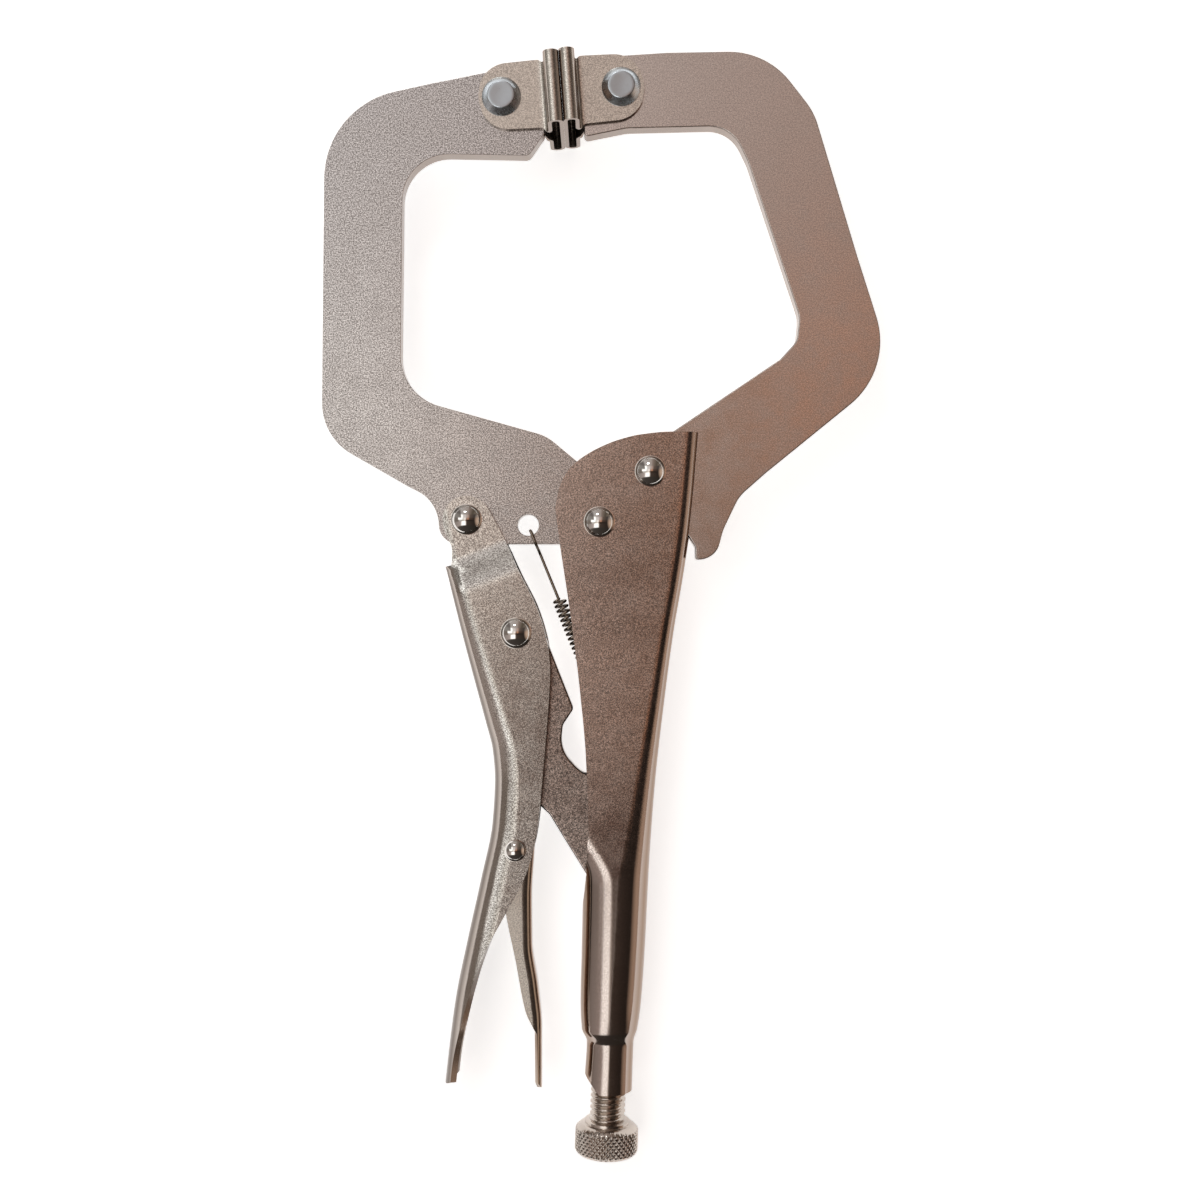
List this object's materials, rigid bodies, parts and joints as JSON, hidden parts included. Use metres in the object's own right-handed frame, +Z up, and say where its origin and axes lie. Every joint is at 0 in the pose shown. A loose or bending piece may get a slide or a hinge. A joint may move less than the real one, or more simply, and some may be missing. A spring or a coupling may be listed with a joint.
{
  "type": "locking C-clamp pliers",
  "caption": "Locking C-clamp pliers: two C-shaped plate jaws with swivel pads, a toggle handle with release lever, and a knurled adjusting screw.",
  "frame": {"origin": "centre of the closed tool's underside box, with the tool lying flat on a surface", "axes": "+Y from the knurled knob towards the pads, +X from the moving jaw towards the fixed jaw, +Z up through the thickness"},
  "size_m": [0.1436, 0.2844, 0.0254],
  "materials": {
    "jaw_steel": "nickel plate on a fine-grained satin blank",
    "handle_steel": "nickel plate, satin flats and polished bends",
    "link_steel": "nickel plate on a satin blank",
    "lever_steel": "polished nickel plate",
    "rivet_polish": "polished domed heads",
    "pad_steel": "polished nickel plate",
    "rivet_zinc": "dull zinc with a bright chamfer",
    "screw_steel": "nickel plate, rolled thread and diamond knurl",
    "spring_wire": "dark plated spring wire"
  },
  "bodies": {
    "fixed_handle": {"fixed_handle": "handle_steel", "fixed_jaw": "jaw_steel", "fixed_jaw_rivet": "rivet_polish", "jaw_pivot_rivet": "rivet_polish", "fixed_pad_rivet": "rivet_zinc", "return_spring": "spring_wire"},
    "moving_jaw": {"moving_jaw": "jaw_steel", "moving_pad_rivet": "rivet_zinc", "handle_pivot_rivet": "rivet_polish"},
    "moving_handle": {"moving_handle": "handle_steel", "link_pivot_rivet": "rivet_polish", "release_lever_rivet": "rivet_polish"},
    "toggle_link": {"toggle_link": "link_steel"},
    "release_lever": {"release_lever": "lever_steel"},
    "moving_pad": {"moving_pad": "pad_steel"},
    "fixed_pad": {"fixed_pad": "pad_steel"},
    "adjusting_screw": {"adjusting_screw": "screw_steel"}
  },
  "joints": [
    {"name": "jaw_pivot", "type": "hinge", "parent": "fixed_handle", "child": "moving_jaw", "pos_m": [-0.00051, 0.0211, 0.0127], "axis": [0, 0, 1], "range_deg": [0, 16], "deforming": ["return_spring"]},
    {"name": "handle_pivot", "type": "hinge", "parent": "moving_jaw", "child": "moving_handle", "pos_m": [-0.03451, 0.0217, 0.0127], "axis": [0, 0, 1], "range_deg": [-54.63, 0]},
    {"name": "link_pivot", "type": "hinge", "parent": "moving_handle", "child": "toggle_link", "pos_m": [-0.02171, -0.0073, 0.0127], "axis": [0, 0, 1], "range_deg": [0, 56.42]},
    {"name": "lever_pivot", "type": "hinge", "parent": "moving_handle", "child": "release_lever", "pos_m": [-0.02191, -0.0626, 0.0127], "axis": [0, 0, 1], "range_deg": [-12, 0]},
    {"name": "moving_pad_swivel", "type": "hinge", "parent": "moving_jaw", "child": "moving_pad", "pos_m": [-0.02561, 0.1302, 0.0127], "axis": [0, 0, 1], "range_deg": [-8.01, 0]},
    {"name": "fixed_pad_swivel", "type": "hinge", "parent": "fixed_handle", "child": "fixed_pad", "pos_m": [0.00511, 0.13271, 0.0127], "axis": [0, 0, 1], "range_deg": [0, 8.01]},
    {"name": "screw_travel", "type": "slide", "parent": "fixed_handle", "child": "adjusting_screw", "axis": [-0.0375, -0.9993, 0], "range_m": [0, 0.03]}
  ],
  "couplings": [
    {"joint": "handle_pivot", "follows": "jaw_pivot", "ratio": -3.4136},
    {"joint": "link_pivot", "follows": "jaw_pivot", "ratio": 3.5256},
    {"joint": "moving_pad_swivel", "follows": "jaw_pivot", "ratio": -0.5},
    {"joint": "fixed_pad_swivel", "follows": "jaw_pivot", "ratio": 0.5}
  ]
}
